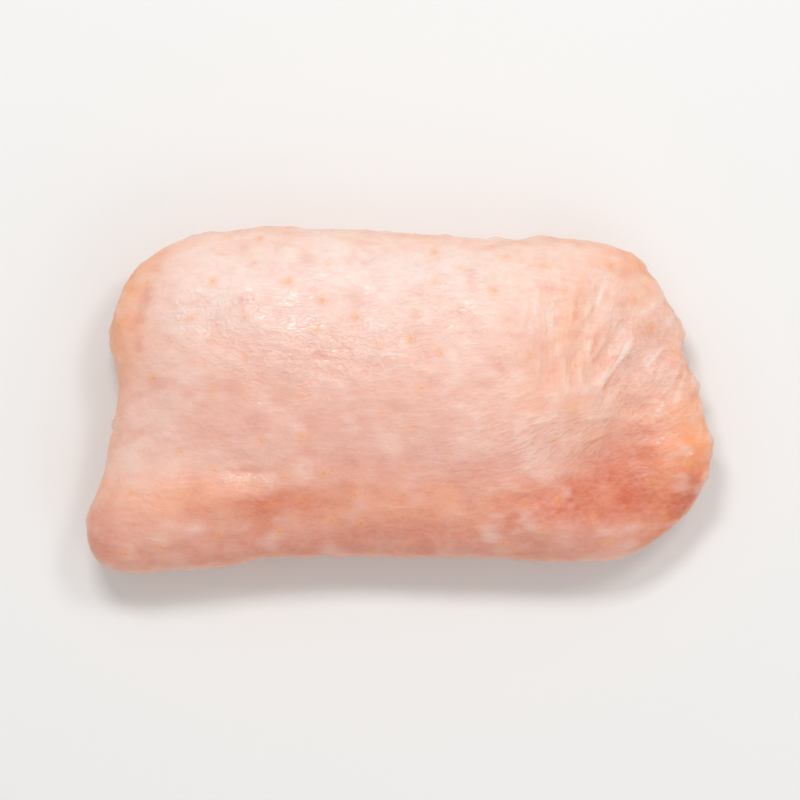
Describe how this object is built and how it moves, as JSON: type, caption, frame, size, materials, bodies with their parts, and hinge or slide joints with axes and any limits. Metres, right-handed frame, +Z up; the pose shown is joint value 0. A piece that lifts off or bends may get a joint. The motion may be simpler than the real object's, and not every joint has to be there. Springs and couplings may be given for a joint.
{
  "type": "raw chicken thigh",
  "caption": "Raw chicken thigh with its skin on: a soft oblong mound, skin side up, with tucked, pleated sides and a flat underside.",
  "frame": {"origin": "on the surface that the thigh lies on, under the middle of its box", "axes": "+X towards the knee end along the length, +Y towards the thick back, +Z up through the skin side"},
  "size_m": [0.1424, 0.0792, 0.0334],
  "materials": {
    "raw_skin": "wet raw skin over fat and pink meat, pale pink with a satin gloss"
  },
  "bodies": {
    "root": {"thigh": "raw_skin"}
  },
  "joints": []
}
